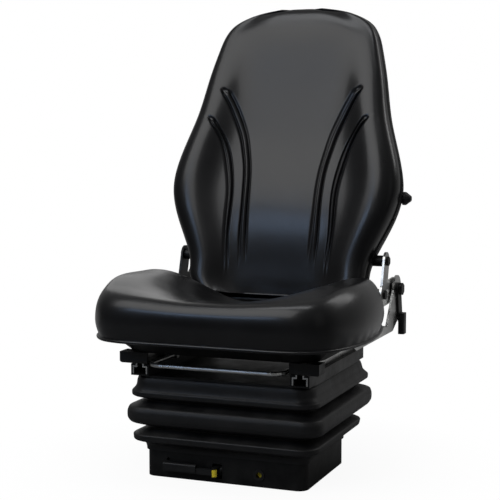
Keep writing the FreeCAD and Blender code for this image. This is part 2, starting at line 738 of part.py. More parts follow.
def make_seat():
    rings = [
        ring_points(rail_top, pan_floor_half_width, pan_front + pan_front_slope, pan_rear - 14, 50.0, 40.0),
        ring_points(pan_rim_z, pan_rim_half_width, pan_front, pan_rear, 70.0, 50.0),
    ]
    inner_rings = [
        ring_points(rail_top + pan_wall, pan_floor_half_width - pan_wall, pan_front + pan_front_slope + pan_wall,
                    pan_rear - 14 - pan_wall, 48.0, 38.0),
        ring_points(pan_rim_z, pan_rim_half_width - pan_wall, pan_front + pan_wall, pan_rear - pan_wall, 68.0, 48.0),
    ]
    pan = flat_loft(rings).cut(flat_loft(inner_rings))
    save("seat_pan", pan)

    stations = [
        (-230.0, 138.0, 286.0, 287.0),
        (-225.0, 172.0, 306.0, 308.0),
        (-213.0, 194.0, 319.0, 322.0),
        (-195.0, 211.0, 325.0, 330.0),
        (-166.0, 227.0, 325.0, 338.0),
        (-124.0, 240.0, 318.0, 348.0),
        (-70.0, 245.0, 309.0, 353.0),
        (0.0, 243.0, 301.0, 352.0),
        (70.0, 231.0, 294.0, 338.0),
        (110.0, 219.0, 284.0, 304.0),
        (150.0, 203.0, 275.0, 283.0),
        (186.0, 186.0, 268.0, 271.0),
        (197.0, 170.0, 262.0, 263.0),
    ]
    foot = pan_rim_z + cushion_play
    sections = []
    for y, half, centre, bolster in stations:
        side = [(half - 12, foot), (half - 2, foot + 0.16 * (bolster - foot)), (half, foot + 0.45 * (bolster - foot)),
                (half - 7, foot + 0.8 * (bolster - foot)), (0.85 * half, bolster),
                (0.62 * half, centre + 0.45 * (bolster - centre)), (0.35 * half, centre + 0.06 * (bolster - centre))]
        points = [vec(x, y, z) for x, z in side] + [vec(0, y, centre)] + [vec(-x, y, z) for x, z in reversed(side)]
        curve = Part.BSplineCurve()
        curve.interpolate(points)
        outline = curve.discretize(Number=section_points)
        sections.append(outline)
    save("seat_cushion", flat_loft(sections))

    plate = side_plate_outline(side_plate_x, side_plate_x + side_plate_thick)
    save("side_plate_right", plate)
    save("side_plate_left", mirrored(plate))

    spacers = []
    for side in (-1, 1):
        for y in (20.0, 150.0):
            x0 = side * (pan_rim_half_width - 8.0)
            x1 = side * side_plate_x
            low, high = min(x0, x1), max(x0, x1)
            spacer = rod_x(low, high, y, rail_top + 16.0, 7.0)
            spacers.append(spacer)
    pan_outer = flat_loft(rings)
    save("side_plate_spacers", *[s.cut(pan_outer) for s in spacers])

    x0 = bracket_x - 4.0
    x1 = side_plate_x + side_plate_thick + 9.0
    bolt = rod_x(x0, x1, hinge_y, hinge_z, hinge_bolt_radius)
    head = hexagon_x(side_plate_x + side_plate_thick + 4.4, x1 + 2.0, hinge_y, hinge_z, 10.0)
    nut = hexagon_x(x0 - 3.0, x0 + 3.0, hinge_y, hinge_z, 10.0)
    washer = rod_x(bracket_x + 4.3, side_plate_x, hinge_y, hinge_z, 11.0)
    bolt = bolt.fuse([head, nut, washer]).removeSplitter()
    save("hinge_bolts", bolt, mirrored(bolt))

    lever_x = side_plate_x + side_plate_thick + 0.3
    arm = link_plate(lever_x, lever_x + 3.7, (hinge_y, hinge_z), (hinge_y + 12.0, hinge_z - 55.0), 12.0)
    arm = arm.cut(rod_x(lever_x, lever_x + 3.7, hinge_y, hinge_z, hinge_bolt_radius + running_fit))
    grip = block(lever_x, lever_x + 12.0, hinge_y + 2.0, hinge_y + 24.0, hinge_z - 88.0, hinge_z - 48.0)
    grip = grip.makeFillet(4.0, [e for e in grip.Edges if abs(e.Vertexes[0].Z - e.Vertexes[1].Z) > 10])
    save("recline_lever", arm.cut(grip).removeSplitter())
    save("recline_grip", grip)


def side_plate_outline(x0, x1):
    """The side plate: a run along the pan, then up round the recline hinge."""
    low = rail_top + 8.0
    top = pan_rim_z - 2.0
    corners = [
        (-60.0, low + 6.0),
        (-46.0, low),
        (190.0, low),
        (hinge_y + 22.0, low + 26.0),
        (hinge_y + 26.0, hinge_z),
        (hinge_y - 26.0, hinge_z),
        (150.0, top),
        (-46.0, top),
        (-60.0, top - 6.0),
    ]
    plate = polygon_x(corners, x0, x1).fuse(rod_x(x0, x1, hinge_y, hinge_z, 26.0))
    return plate.cut(rod_x(x0, x1, hinge_y, hinge_z, hinge_bolt_radius + seat_fit)).removeSplitter()


def on_back(x, up, inward):
    """A point of the backrest from its own plane: x across, up along it, inward towards the shell."""
    y = back_foot_y + up * math.sin(lean) + inward * math.cos(lean)
    z = back_foot_z + up * math.cos(lean) - inward * math.sin(lean)
    return vec(x, y, z)


back_stations = [
    (2.0, 140.0, 30.0, 0.0, 52.0),
    (18.0, 163.0, 26.0, 2.0, 60.0),
    (60.0, 177.0, 20.0, 4.0, 68.0),
    (104.0, 191.0, 14.0, 8.0, 70.0),
    (150.0, 212.0, 10.0, 13.0, 70.0),
    (213.0, 228.0, 9.0, 17.0, 70.0),
    (262.0, 222.0, 12.0, 17.0, 68.0),
    (311.0, 208.0, 15.0, 14.0, 66.0),
    (360.0, 194.0, 15.0, 9.0, 64.0),
    (435.0, 180.0, 11.0, 3.0, 60.0),
    (500.0, 165.0, 5.0, -3.0, 56.0),
    (536.0, 151.0, 4.0, -8.0, 52.0),
    (551.0, 136.0, 6.0, -11.0, 49.0),
    (565.0, 110.0, 9.0, -15.0, 45.0),
    (574.0, 80.0, 14.0, -19.0, 41.0),
    (579.0, 40.0, 18.0, -22.0, 37.0),
]


def back_section(up, half, centre, bolster, depth, grow, back_only):
    """A closed section of the backrest: front with two bolsters, round sides, nearly flat back."""
    reach = half + grow
    deep = depth + grow
    if back_only:
        deep = depth + shell_thick
    shoulder = 0.6 * centre - 0.4 * bolster
    edge = 0.12 * depth - 0.75 * bolster
    front = [(0.0, centre - grow), (0.34 * reach, centre - grow), (0.62 * reach, shoulder - grow),
             (0.85 * reach, -bolster - grow), (0.975 * reach, edge), (reach, 0.45 * depth)]
    rear = [(0.965 * reach, 0.8 * deep), (0.8 * reach, 0.97 * deep), (0.4 * reach, deep)]
    right = front + rear
    left = [(-x, w) for x, w in reversed(right[1:])]
    outline = right + [(0.0, deep)] + left
    curve = Part.BSplineCurve()
    curve.interpolate(Points=[on_back(x, up, w) for x, w in outline], PeriodicFlag=True)
    return curve.discretize(Number=section_points + 2)[:-1]


def make_back():
    cushion = flat_loft([back_section(*row, 0.0, False) for row in back_stations])
    save("back_cushion", cushion)

    grown = []
    outside = []
    last = len(back_stations) - 1
    for number, (up, half, centre, bolster, depth) in enumerate(back_stations):
        spread = 0.0
        if number == 0:
            spread = -1.0
        if number == last:
            spread = 1.0
        grown.append(back_section(up + spread, half, centre, bolster, depth, 0.3, False))
        outside.append(back_section(up + 4 * spread, half, centre, bolster, depth, shell_overhang, True))
    room = flat_loft(grown)
    shell = flat_loft(outside).cut(room)
    front_side = block(-300, 300, -200, shell_start, -100, 700)
    front_side.rotate(vec(0, 0, 0), x_axis, -back_lean)
    front_side.translate(on_back(0, 0, 0))
    shell = shell.cut(front_side)

    bolts = []
    bosses = []
    for up, inward in ((22.0, 50.0), (86.0, 50.0)):
        point = on_back(0, up, inward)
        boss = hexagon_x(150.0, bracket_x - 0.2, point.y, point.z, 11.0)
        boss = boss.cut(room)
        bosses.append(boss)
        bolt = rod_x(bracket_x - 8.0, bracket_x + 4.0, point.y, point.z, 4.0)
        bolt = bolt.fuse(hexagon_x(bracket_x + 4.0, bracket_x + 8.5, point.y, point.z, 7.5))
        bolts.append(bolt)
    solids = [shell] + bosses + [mirrored(b) for b in bosses]
    whole = solids[0].fuse(solids[1:])
    knob_at = on_back(0, lumbar_up, lumbar_in)
    whole = whole.cut(rod_x(0.8 * knob_start, knob_start + 4.0, knob_at.y, knob_at.z, knob_stem_radius + 0.3))
    for bolt in bolts:
        whole = whole.cut([bolt, mirrored(bolt)])
    save("back_shell", whole)
    save("bracket_bolts", *bolts, *[mirrored(b) for b in bolts])

    foot = on_back(0, 22.0, 50.0)
    head = on_back(0, 86.0, 50.0)
    x0 = bracket_x
    x1 = bracket_x + 4.0
    bracket = link_plate(x0, x1, (hinge_y, hinge_z), (foot.y, foot.z), 22.0)
    bracket = bracket.fuse(link_plate(x0, x1, (foot.y, foot.z), (head.y, head.z), 17.0)).removeSplitter()
    bracket = bracket.cut(rod_x(x0, x1, hinge_y, hinge_z, hinge_bolt_radius + running_fit))
    for point in (foot, head):
        bracket = bracket.cut(rod_x(x0, x1, point.y, point.z, 4.0 + seat_fit))
    save("back_bracket_right", bracket)
    save("back_bracket_left", mirrored(bracket))

    centre = on_back(0, lumbar_up, lumbar_in)
    start = knob_start
    sections = []
    for along, radius in ((0.0, knob_radius), (6.0, knob_radius), (16.0, 0.4 * knob_radius)):
        points = []
        for number in range(16):
            angle = math.radians(22.5 * number)
            points.append(vec(start + along, centre.y + radius * math.cos(angle), centre.z + radius * math.sin(angle)))
        sections.append(points)
    knob = flat_loft(sections)
    knob = knob.fuse(rod_x(start - 3.0, start, centre.y, centre.z, knob_stem_radius))
    save("lumbar_knob", knob.removeSplitter())


make_base()
make_adjuster()
make_linkage()
make_damper()
make_bellows()
make_upper_frame()
make_rails()
make_release_bar()
make_seat()
make_back()
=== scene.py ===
import json
import math
import bpy
import numpy as np
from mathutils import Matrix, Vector


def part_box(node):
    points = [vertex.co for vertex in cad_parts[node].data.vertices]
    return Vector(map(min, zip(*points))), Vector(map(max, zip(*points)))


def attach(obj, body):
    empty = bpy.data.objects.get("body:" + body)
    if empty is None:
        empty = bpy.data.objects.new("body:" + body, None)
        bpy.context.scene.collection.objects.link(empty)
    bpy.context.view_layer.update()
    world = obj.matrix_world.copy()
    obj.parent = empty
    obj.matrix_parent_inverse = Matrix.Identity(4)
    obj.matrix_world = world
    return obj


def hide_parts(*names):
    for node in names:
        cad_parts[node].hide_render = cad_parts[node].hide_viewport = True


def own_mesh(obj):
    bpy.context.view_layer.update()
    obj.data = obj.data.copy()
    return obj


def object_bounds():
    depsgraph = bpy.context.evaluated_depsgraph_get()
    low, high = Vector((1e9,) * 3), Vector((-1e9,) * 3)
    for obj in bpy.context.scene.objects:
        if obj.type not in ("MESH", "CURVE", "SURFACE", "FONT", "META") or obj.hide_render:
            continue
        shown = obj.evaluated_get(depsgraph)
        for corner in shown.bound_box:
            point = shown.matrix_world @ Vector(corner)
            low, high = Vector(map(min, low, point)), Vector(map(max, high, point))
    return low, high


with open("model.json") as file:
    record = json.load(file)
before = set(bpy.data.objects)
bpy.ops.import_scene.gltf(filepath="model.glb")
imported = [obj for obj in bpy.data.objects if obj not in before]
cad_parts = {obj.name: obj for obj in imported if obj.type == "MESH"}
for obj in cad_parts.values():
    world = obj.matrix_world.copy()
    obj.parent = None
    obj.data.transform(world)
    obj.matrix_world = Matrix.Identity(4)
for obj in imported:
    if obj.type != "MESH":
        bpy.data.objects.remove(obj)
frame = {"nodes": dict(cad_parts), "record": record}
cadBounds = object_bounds()
scene = bpy.context.scene
print("frame loaded:", len(frame["nodes"]), "nodes")


def smoothAlong(knots, values, at):
    # natural cubic spline: with shares a and b of the way between two knots, the value is
    # a v0 + b v1 + gap^2 / 6 ((a^3 - a) bend0 + (b^3 - b) bend1), the bends solved so that no kink is left
    knots, values, at = np.asarray(knots, float), np.asarray(values, float), np.asarray(at, float)
    flat = (1,) * (values.ndim - 1)
    gap = np.diff(knots)
    inside = np.arange(1, len(knots) - 1)
    matrix = np.eye(len(knots))
    matrix[inside, inside - 1] = gap[:-1]
    matrix[inside, inside] = 2 * (gap[:-1] + gap[1:])
    matrix[inside, inside + 1] = gap[1:]
    slopes = np.diff(values, axis=0) / gap.reshape((-1,) + flat)
    right = np.zeros_like(values)
    right[inside] = 6 * np.diff(slopes, axis=0)
    bend = np.linalg.solve(matrix, right)
    i = np.clip(np.searchsorted(knots, at) - 1, 0, len(knots) - 2)
    a = ((knots[i + 1] - at) / gap[i]).reshape(at.shape + flat)
    b = 1 - a
    g = gap[i].reshape(a.shape) ** 2 / 6
    return a * values[i] + b * values[i + 1] + g * ((a ** 3 - a) * bend[i] + (b ** 3 - b) * bend[i + 1])


def closedCurve(points, at):
    # the same spline through a ring of points, by chord length; at runs from 0 to 1 round the ring
    points = np.asarray(points, float)
    wrap = 4  # points repeated past each end, so that the ends are smooth too
    ring = np.concatenate([points[-wrap:], points, points[:wrap + 1]])
    chord = np.concatenate([[0], np.cumsum(np.linalg.norm(np.diff(ring, axis=0), axis=1))])
    start, end = chord[wrap], chord[wrap + len(points)]
    return smoothAlong(chord, ring, start + (end - start) * np.asarray(at))


def smoothStep(x):
    # 3 x^2 - 2 x^3, with x held between 0 and 1
    x = np.clip(x, 0, 1)
    return x * x * (3 - 2 * x)


def faceOut(piece):
    # the sum of a . (b x c) over the triangles is six times the enclosed volume; below 0, the faces turn over
    mesh = piece.data
    mesh.calc_loop_triangles()
    points = np.zeros(len(mesh.vertices) * 3)
    mesh.vertices.foreach_get("co", points)
    corners = np.zeros(len(mesh.loop_triangles) * 3, int)
    mesh.loop_triangles.foreach_get("vertices", corners)
    a, b, c = points.reshape(-1, 3)[corners.reshape(-1, 3)].transpose(1, 0, 2)
    if np.einsum("ij,ij->", a, np.cross(b, c)) < 0:
        mesh.flip_normals()
    return piece


def surface(name, grid, poles=False):
    # quads over a grid of points, each row a closed ring; poles closes the first and last rows with fans
    rows, cols = grid.shape[:2]
    points = grid.reshape(-1, 3)
    r = np.arange(rows - 1)[:, None]
    c = np.arange(cols)[None, :]
    after = (c + 1) % cols
    corners = [r * cols + c, r * cols + after, (r + 1) * cols + after, (r + 1) * cols + c]
    faces = np.stack(corners, -1).reshape(-1, 4).tolist()
    if poles:
        first = np.arange(cols)
        last = first + (rows - 1) * cols
        low, high = np.full(cols, len(points)), np.full(cols, len(points) + 1)
        faces += np.stack([low, np.roll(first, -1), first], -1).tolist()
        faces += np.stack([high, last, np.roll(last, -1)], -1).tolist()
        points = np.concatenate([points, [grid[0].mean(0), grid[-1].mean(0)]])
    mesh = bpy.data.meshes.new(name)
    mesh.from_pydata((points / 1000).tolist(), [], faces)
    mesh.update()
    mesh.polygons.foreach_set("use_smooth", [True] * len(mesh.polygons))
    piece = bpy.data.objects.new(name, mesh)
    scene.collection.objects.link(piece)
    return faceOut(piece)


def tubeAlong(name, path, radius, sides=12, closed=False):
    # circles square to the path: point + radius (side cos t + lift sin t)
    path = np.asarray(path, float)
    if closed:
        ahead = np.roll(path, -1, 0) - np.roll(path, 1, 0)
    else:
        ahead = np.gradient(path, axis=0)
    ahead /= np.linalg.norm(ahead, axis=1)[:, None]
    upward = np.tile([0.0, 0.0, 1.0], (len(path), 1))
    steep = np.abs(ahead[:, 2]) > 0.9
    upward[steep] = [0.0, 1.0, 0.0]
    side = np.cross(ahead, upward)
    side /= np.linalg.norm(side, axis=1)[:, None]
    lift = np.cross(side, ahead)
    turn = np.linspace(0, 2 * math.pi, sides, endpoint=False)[None, :, None]
    grid = path[:, None] + radius * (side[:, None] * np.cos(turn) + lift[:, None] * np.sin(turn))
    if closed:
        grid = np.concatenate([grid, grid[:1]])
    return surface(name, grid, poles=not closed)


finishes = {
    # patch is the noise's scale, detail and roughness, span the part of it that is stretched to 0 to 1,
    # and each bump has a scale, detail, strength and depth
    "vinyl": {"colour": (0.0024, 0.0024, 0.0028), "worn": (0.0046, 0.0046, 0.0052), "rough": (0.27, 0.35),
              "specular": 0.25, "coat": 0.2, "coatRough": 0.16, "patch": (8.0, 4.0, 0.6), "span": (0.3, 0.7),
              "grain": 950.0, "grainStrength": 0.16, "grainDepth": 0.0004,
              "bumps": ((2300.0, 2.0, 0.07, 0.0002), (17.0, 3.0, 0.07, 0.004))},
    "rubber": {"colour": (0.0042, 0.0042, 0.0046), "worn": (0.02, 0.0195, 0.019), "rough": (0.46, 0.62),
               "specular": 0.32, "patch": (14.0, 6.0, 0.65), "span": (0.4, 0.72),
               "dustShare": (0.25, 1.0), "dustFacing": (-0.2, 0.8),
               "bumps": ((700.0, 2.0, 0.15, 0.0004), (18.0, 3.0, 0.25, 0.006))},
    "paint": {"colour": (0.0045, 0.0045, 0.0047), "worn": (0.013, 0.013, 0.0125), "rough": (0.36, 0.52),
              "specular": 0.2, "patch": (30.0, 5.0, 0.65), "span": (0.38, 0.75),
              "bumps": ((900.0, 2.0, 0.14, 0.0003), (26.0, 2.0, 0.08, 0.002))},
    "zinc": {"colour": (0.56, 0.56, 0.545), "worn": (0.33, 0.335, 0.33), "rough": (0.22, 0.42),
             "metallic": 1.0, "patch": (26.0, 6.0, 0.65), "span": (0.3, 0.7),
             "bumps": ((420.0, 3.0, 0.06, 0.0004), (60.0, 2.0, 0.06, 0.001))},
    "plastic": {"colour": (0.006, 0.006, 0.0065), "worn": (0.012, 0.012, 0.012), "rough": (0.4, 0.54),
                "specular": 0.25, "patch": (40.0, 4.0, 0.5), "span": (0.3, 0.7),
                "bumps": ((1500.0, 2.0, 0.22, 0.0003),)},
    "yellow": {"colour": (0.86, 0.70, 0.04), "worn": (0.70, 0.52, 0.02), "evenRough": 0.35,
               "patch": (90.0, 3.0, 0.5), "bumps": ((1200.0, 2.0, 0.1, 0.0002),)},
    "spring": {"colour": (0.03, 0.03, 0.032), "worn": (0.05, 0.05, 0.055), "rough": (0.28, 0.45),
               "metallic": 0.7, "patch": (80.0, 4.0, 0.5), "span": (0.3, 0.7), "bumps": ()},
}


def newMaterial(name, look):
    material = bpy.data.materials.new(name)
    material.use_nodes = True
    shader = material.node_tree.nodes["Principled BSDF"]
    shader.inputs["Base Color"].default_value = (*look["colour"], 1)
    shader.inputs["Roughness"].default_value = look.get("evenRough", 0.4)
    shader.inputs["Metallic"].default_value = look.get("metallic", 0.0)
    shader.inputs["Specular IOR Level"].default_value = look.get("specular", 0.5)
    shader.inputs["Coat Weight"].default_value = look.get("coat", 0.0)
    shader.inputs["Coat Roughness"].default_value = look.get("coatRough", 0.3)
    return material, material.node_tree, shader


def objectCoords(tree):
    return tree.nodes.new("ShaderNodeTexCoord").outputs["Object"]


def axisOf(tree, vector, axis):
    split = tree.nodes.new("ShaderNodeSeparateXYZ")
    tree.links.new(vector, split.inputs[0])
    return split.outputs[axis]


def noiseNode(tree, coords, scale, detail, rough=0.5):
    noise = tree.nodes.new("ShaderNodeTexNoise")
    noise.inputs["Scale"].default_value = scale
    noise.inputs["Detail"].default_value = detail
    noise.inputs["Roughness"].default_value = rough
    tree.links.new(coords, noise.inputs["Vector"])
    return noise.outputs["Fac"]


def mathNode(tree, operation, first, second):
    node = tree.nodes.new("ShaderNodeMath")
    node.operation = operation
    tree.links.new(first, node.inputs[0])
    tree.links.new(second, node.inputs[1])
    return node.outputs[0]


def remap(tree, value, low, high, fromLow, fromHigh):
    # fromLow to fromHigh becomes low to high, held at both ends
    node = tree.nodes.new("ShaderNodeMapRange")
    node.inputs["From Min"].default_value = fromLow
    node.inputs["From Max"].default_value = fromHigh
    node.inputs["To Min"].default_value = low
    node.inputs["To Max"].default_value = high
    tree.links.new(value, node.inputs["Value"])
    return node.outputs["Result"]


def mixColours(tree, factor, first, second):
    node = tree.nodes.new("ShaderNodeMix")
    node.data_type = "RGBA"
    node.inputs["A"].default_value = (*first, 1)
    node.inputs["B"].default_value = (*second, 1)
    tree.links.new(factor, node.inputs["Factor"])
    return node.outputs["Result"]


def addBump(tree, shader, height, strength, depth, below=None):
    bump = tree.nodes.new("ShaderNodeBump")
    bump.inputs["Strength"].default_value = strength
    bump.inputs["Distance"].default_value = depth
    tree.links.new(height, bump.inputs["Height"])
    if below is not None:
        tree.links.new(below, bump.inputs["Normal"])
    tree.links.new(bump.outputs["Normal"], shader.inputs["Normal"])
    return bump.outputs["Normal"]


def addNoiseBumps(tree, shader, coords, look, below=None):
    for scale, detail, strength, depth in look["bumps"]:
        below = addBump(tree, shader, noiseNode(tree, coords, scale, detail), strength, depth, below)


def patchNoise(tree, coords, look):
    return remap(tree, noiseNode(tree, coords, *look["patch"]), 0, 1, *look["span"])


def wearSurface(tree, shader, factor, look):
    # colour and roughness follow the same slow noise, so worn patches are both paler and duller
    tree.links.new(mixColours(tree, factor, look["colour"], look["worn"]), shader.inputs["Base Color"])
    tree.links.new(remap(tree, factor, *look["rough"], 0, 1), shader.inputs["Roughness"])


def patchyMaterial(name, look):
    material, tree, shader = newMaterial(name, look)
    coords = objectCoords(tree)
    wearSurface(tree, shader, patchNoise(tree, coords, look), look)
    addNoiseBumps(tree, shader, coords, look)
    return material


def vinylMaterial(name, look):
    # the leather grain is a bump of small cells, under a finer and a slower one
    material, tree, shader = newMaterial(name, look)
    coords = objectCoords(tree)
    wearSurface(tree, shader, patchNoise(tree, coords, look), look)
    cells = tree.nodes.new("ShaderNodeTexVoronoi")
    cells.inputs["Scale"].default_value = look["grain"]
    tree.links.new(coords, cells.inputs["Vector"])
    grain = addBump(tree, shader, cells.outputs["Distance"], look["grainStrength"], look["grainDepth"])
    addNoiseBumps(tree, shader, coords, look, grain)
    return material


def rubberMaterial(name, look):
    # dust lies in patches, and more of it where the rubber faces up
    material, tree, shader = newMaterial(name, look)
    coords = objectCoords(tree)
    facing = axisOf(tree, tree.nodes.new("ShaderNodeNewGeometry").outputs["Normal"], "Z")
    upward = remap(tree, facing, *look["dustShare"], *look["dustFacing"])
    dust = mathNode(tree, "MULTIPLY", patchNoise(tree, coords, look), upward)
    wearSurface(tree, shader, dust, look)
    addNoiseBumps(tree, shader, coords, look)
    return material


def yellowMaterial(name, look):
    material, tree, shader = newMaterial(name, look)
    coords = objectCoords(tree)
    shade = mixColours(tree, noiseNode(tree, coords, *look["patch"]), look["colour"], look["worn"])
    tree.links.new(shade, shader.inputs["Base Color"])
    addNoiseBumps(tree, shader, coords, look)
    return material


vinyl = vinylMaterial("grainedVinyl", finishes["vinyl"])
rubber = rubberMaterial("mouldedRubber", finishes["rubber"])
paint = patchyMaterial("powderCoat", finishes["paint"])
zinc = patchyMaterial("brightZinc", finishes["zinc"])
plastic = patchyMaterial("mouldedPlastic", finishes["plastic"])
yellow = yellowMaterial("signalYellow", finishes["yellow"])
springSteel = patchyMaterial("springWire", finishes["spring"])
slotFinish = {"vinyl": vinyl, "bellows_rubber": rubber, "stop_rubber": rubber,
              "black_steel": paint, "zinc_steel": zinc, "spring_steel": springSteel,
              "black_plastic": plastic, "yellow_plastic": yellow}
slotOf = {part["node"]: part["material_slot"] for part in frame["record"]["subparts"]}
for name, node in frame["nodes"].items():
    node.data.materials.clear()
    node.data.materials.append(slotFinish[slotOf[name]])
print("materials set on the fixed nodes")


def dress(piece, slot, body):
    piece.data.materials.append(slotFinish[slot])
    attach(piece, body)


seatShape = {
    # heights of the top's middle and of its side bolsters, and half widths, from the front to the rear
    "y": (-230, -225, -213, -195, -166, -124, -70, 0, 70, 110, 150, 186, 198),
    "topZ": (325, 325.5, 326, 326, 324, 318, 309, 301, 292, 280, 271, 266, 262),
    "bolsterZ": (325, 327, 331, 336, 342, 349.5, 353, 352, 338, 305, 284, 272, 265),
    "half": (138, 172, 194, 211, 227, 240, 245, 243, 231, 219, 203, 186, 170),
    "leastHalf": 200.0, "flatShare": 0.12, "riseShare": 0.72,
    # the right half of the outline seen from above
    "outline": ((0, -230), (70, -230), (125, -229.6), (158, -227), (183, -219), (203, -203), (219, -180),
                (232, -147), (241, -110), (245.5, -65), (243, 0), (231, 70), (219, 110), (203, 150),
                (189, 181), (172, 194.5), (90, 197), (0, 197)),
    "middle": (0.0, -15.0), "columns": 300,
    # the side wall as insets from the outline at heights above the foot, the first one under the cushion
    "footZ": 251.0, "wall": ((30.0, 0), (9.0, 0), (6.0, 0.8), (4.6, 3.0), (4.6, 6.0), (5.6, 8.0), (4.8, 10.0),
                             (3.4, 14.0), (1.8, 20.0), (0.6, 26.0), (0.0, 32.0)),
    "rollInset": 33.0, "rollRows": 26, "topRows": 58,
    "frontTightness": 0.72, "tightFromY": -150.0, "tightOver": 70.0,
    "tuck": 0.7, "tuckCount": 31, "tuckWander": 0.6, "tuckWaves": 5, "tuckUp": 11.0, "tuckReach": 7.0,
}


def seatTopHeight(x, y):
    # z = middle + (bolster - middle) s, with s a smooth step of |x| / half width from 0.12 to 0.84
    held = np.clip(y, seatShape["y"][0], seatShape["y"][-1])
    middle = smoothAlong(seatShape["y"], seatShape["topZ"], held)
    bolster = smoothAlong(seatShape["y"], seatShape["bolsterZ"], held)
    half = np.interp(y, seatShape["y"], np.maximum(seatShape["half"], seatShape["leastHalf"]))
    share = (np.abs(x) / half - seatShape["flatShare"]) / seatShape["riseShare"]
    return middle + (bolster - middle) * smoothStep(share)


def seatCushionGrid():
    # wall: the outline pulled in at each height, with tucks of sin(31 turns) exp(-((z - foot - 11) / 7)^2)
    # roll: inset r (1 - cos^k t) and height h sin^k t, with k 0.72 along the tight front edge and 1 elsewhere
    # top: the rolled edge drawn in towards the middle, at the top's own height
    right = np.array(seatShape["outline"], float)
    loop = np.concatenate([right, (right[1:-1] * [-1, 1])[::-1]])
    around = np.linspace(0, 1, seatShape["columns"], endpoint=False)
    edge = closedCurve(loop, around)
    middle = np.array(seatShape["middle"])
    reach = np.linalg.norm(middle - edge, axis=1)[:, None]
    inward = (middle - edge) / reach
    rows = []
    wander = seatShape["tuckWander"] * np.sin(2 * math.pi * seatShape["tuckWaves"] * around)
    tucks = seatShape["tuck"] * np.sin(2 * math.pi * (seatShape["tuckCount"] * around + wander))
    for inset, rise in seatShape["wall"]:
        tuck = tucks * math.exp(-((rise - seatShape["tuckUp"]) / seatShape["tuckReach"]) ** 2)
        spot = edge + inward * (inset + tuck)[:, None]
        rows.append(np.column_stack([spot, np.full(len(spot), seatShape["footZ"] + rise)]))
    roll = seatShape["rollInset"]
    widest = seatShape["footZ"] + seatShape["wall"][-1][1]
    front = smoothStep((seatShape["tightFromY"] - edge[:, 1]) / seatShape["tightOver"])
    tight = 1 - (1 - seatShape["frontTightness"]) * front
    for turn in np.linspace(0, math.pi / 2, seatShape["rollRows"] + 1)[1:]:
        spot = edge + inward * (roll * (1 - max(math.cos(turn), 0) ** tight))[:, None]
        top = seatTopHeight(spot[:, 0], spot[:, 1])
        rows.append(np.column_stack([spot, widest + (top - widest) * math.sin(turn) ** tight]))
    for share in np.linspace(1, 0, seatShape["topRows"] + 2)[1:-1]:
        spot = middle - inward * (reach - roll) * share
        rows.append(np.column_stack([spot, seatTopHeight(spot[:, 0], spot[:, 1])]))
    return np.array(rows)


seatGrid = seatCushionGrid()
seatCushion = surface("seatCushionCover", seatGrid, poles=True)
dress(seatCushion, "vinyl", "seat")
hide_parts("seat_cushion")

seatPipe = {"radius": 2.6, "z": 254.6, "wallRow": 3, "sides": 10}
pipePath = seatGrid[seatPipe["wallRow"]].copy()
pipePath[:, 2] = seatPipe["z"]
seatPiping = tubeAlong("seatCushionPiping", pipePath, seatPipe["radius"], seatPipe["sides"], closed=True)
dress(seatPiping, "vinyl", "seat")
print("seat cushion made")


backPlane = {"lean": math.radians(16.5), "footY": 98.0, "footZ": 300.0}
backShape = {
    # half widths, and depths of the middle, the bolsters (towards the front) and the rear, going up the back
    "up": (2, 18, 60, 104, 150, 213, 262, 311, 360, 435, 500, 536, 551, 565, 574, 580),
    "half": (140, 163, 177, 191, 212, 228, 222, 208, 194, 180, 165, 151, 137, 112, 82, 42),
    "centre": (30, 26, 20, 14, 10, 9, 12, 15, 15, 11, 5, 4, 6, 9, 13, 18),
    "bolster": (0, 2, 4, 8, 13, 17, 17, 14, 9, 3, -3, -8, -11, -15, -19, -22),
    "depth": (52, 60, 68, 70, 70, 70, 68, 66, 64, 60, 56, 52, 49, 45, 41, 37),
    # a section's marks from the front's middle round to the rear's: shares of the half width,
    # and at each mark the parts of centre, bolster and depth that make up its depth
    "across": (0, 0.34, 0.62, 0.85, 0.975, 1, 0.965, 0.8, 0.4, 0),
    "deep": ((1, 0, 0), (1, 0, 0), (0.6, -0.4, 0), (0, -1, 0), (0, -0.75, 0.12),
             (0, 0, 0.45), (0, 0, 0.8), (0, 0, 0.97), (0, 0, 1), (0, 0, 1)),
    # bands of rows (from, to, count), the top row, and the columns, whose stops follow the ribs
    "bands": ((6, 18, 6), (18, 60, 14), (60, 420, 166), (420, 536, 30), (536, 580, 28)), "top": 580,
    "columns": 414, "stops": (0, 0.065, 0.125, 0.195, 0.24, 0.36), "sideAt": 0.25, "frontPart": 0.3,
    # how deep the ribs' push reaches round the side, as a share of the depth, and the length of its fade
    "frontDepth": 0.30, "frontOver": 8.0,
}
ribs = {
    # |x| of the four sewn lines of the two ribs, going up the back
    "up": (60, 77, 114, 161, 208, 256, 288, 317, 350, 379, 409, 425),
    "innerInboard": (63, 64, 66, 68, 69, 73, 79, 86, 99, 113, 131, 141),
    "innerOutboard": (77, 77, 79, 79, 80, 84, 91, 99, 113, 127, 145, 154),
    "outerInboard": (98, 99, 102, 102, 102, 109, 118, 132, 154, 173, 191, 201),
    "outerOutboard": (105, 106, 108, 109, 110, 119, 128, 141, 164, 183, 201, 211),
    "widestShare": {"innerInboard": 0.74, "innerOutboard": 0.80, "outerInboard": 0.86, "outerOutboard": 0.92},
    "innerTop": 410, "outerTop": 350, "topFade": 8.0, "footUp": 35.0, "footFade": 120.0,
    "depth": 4.8, "width": 1.7, "rise": 2.0, "riseWidth": 0.55, "leastWidth": 2.0,
    "dimpleDepth": 3.0, "dimpleRadius": 5.0, "dimpleDown": 3.0,
}


def onBack(x, up, inward):
    # a point from the back's own plane: up along it, inward towards the shell
    lean = backPlane["lean"]
    y = backPlane["footY"] + up * math.sin(lean) + inward * math.cos(lean)
    z = backPlane["footZ"] + up * math.cos(lean) - inward * math.sin(lean)
    return np.stack([x + 0 * y, y, z], -1)


